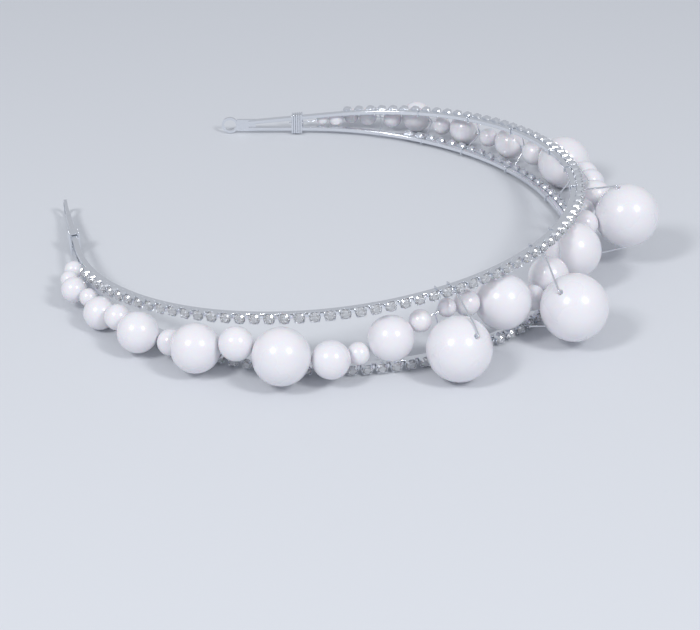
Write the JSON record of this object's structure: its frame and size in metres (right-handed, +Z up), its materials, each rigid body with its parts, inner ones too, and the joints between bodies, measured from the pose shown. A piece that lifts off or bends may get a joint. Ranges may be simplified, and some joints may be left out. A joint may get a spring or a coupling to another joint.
{
  "type": "bridal tiara",
  "caption": "Headband tiara of two horseshoe wire rails, each faced with claw-set crystals, with strung pearls wired between them and large pearls standing out at the front.",
  "frame": {"origin": "middle of the tiara's bounding box, on the surface it lies on", "axes": "+Z up, -Y to the front with the large pearls, +X to the right as seen from the front"},
  "size_m": [0.1688, 0.168, 0.0241],
  "materials": {
    "rail_metal": "polished silver plate",
    "cup_metal": "polished silver plate",
    "wire_metal": "bright drawn silver wire",
    "crystal": "faceted clear",
    "pearl": "soft pearl lustre"
  },
  "bodies": {
    "root": {"upper_rail": "rail_metal", "lower_rail": "rail_metal", "end_eye_left": "rail_metal", "end_eye_right": "rail_metal", "end_binding_left": "rail_metal", "end_binding_right": "rail_metal", "upper_chain_cups": "cup_metal", "lower_chain_cups": "cup_metal", "upper_chain_crystals": "crystal", "lower_chain_crystals": "crystal", "stringing_wire": "wire_metal", "tie_wires": "wire_metal", "feature_stem_left": "wire_metal", "feature_stem_centre": "wire_metal", "feature_stem_right": "wire_metal", "strung_pearl_01": "pearl", "strung_pearl_02": "pearl", "strung_pearl_03": "pearl", "strung_pearl_04": "pearl", "strung_pearl_05": "pearl", "strung_pearl_06": "pearl", "strung_pearl_07": "pearl", "strung_pearl_08": "pearl", "strung_pearl_09": "pearl", "strung_pearl_10": "pearl", "strung_pearl_11": "pearl", "strung_pearl_12": "pearl", "strung_pearl_13": "pearl", "strung_pearl_14": "pearl", "strung_pearl_15": "pearl", "strung_pearl_16": "pearl", "strung_pearl_17": "pearl", "strung_pearl_18": "pearl", "strung_pearl_19": "pearl", "strung_pearl_20": "pearl", "strung_pearl_21": "pearl", "strung_pearl_22": "pearl", "strung_pearl_23": "pearl", "strung_pearl_24": "pearl", "strung_pearl_25": "pearl", "strung_pearl_26": "pearl", "strung_pearl_27": "pearl", "strung_pearl_28": "pearl", "strung_pearl_29": "pearl", "strung_pearl_30": "pearl", "strung_pearl_31": "pearl", "strung_pearl_32": "pearl", "strung_pearl_33": "pearl", "strung_pearl_34": "pearl", "strung_pearl_35": "pearl", "strung_pearl_36": "pearl", "strung_pearl_37": "pearl", "strung_pearl_38": "pearl", "strung_pearl_39": "pearl"},
    "feature_pearl_left": {"feature_pearl_left": "pearl"},
    "feature_pearl_centre": {"feature_pearl_centre": "pearl"},
    "feature_pearl_right": {"feature_pearl_right": "pearl"}
  },
  "joints": [
    {"name": "feature_pearl_left_spin", "type": "hinge", "parent": "root", "child": "feature_pearl_left", "pos_m": [-0.0377, -0.06026, 0.0086], "axis": [-0.0996, -0.6573, 0.747], "continuous": true},
    {"name": "feature_pearl_centre_spin", "type": "hinge", "parent": "root", "child": "feature_pearl_centre", "pos_m": [-0.00575, -0.07496, 0.011], "axis": [-0.6386, 0.1796, 0.7483], "continuous": true},
    {"name": "feature_pearl_right_spin", "type": "hinge", "parent": "root", "child": "feature_pearl_right", "pos_m": [0.04143, -0.06432, 0.015], "axis": [-0.1595, 0.339, 0.9272], "continuous": true}
  ]
}
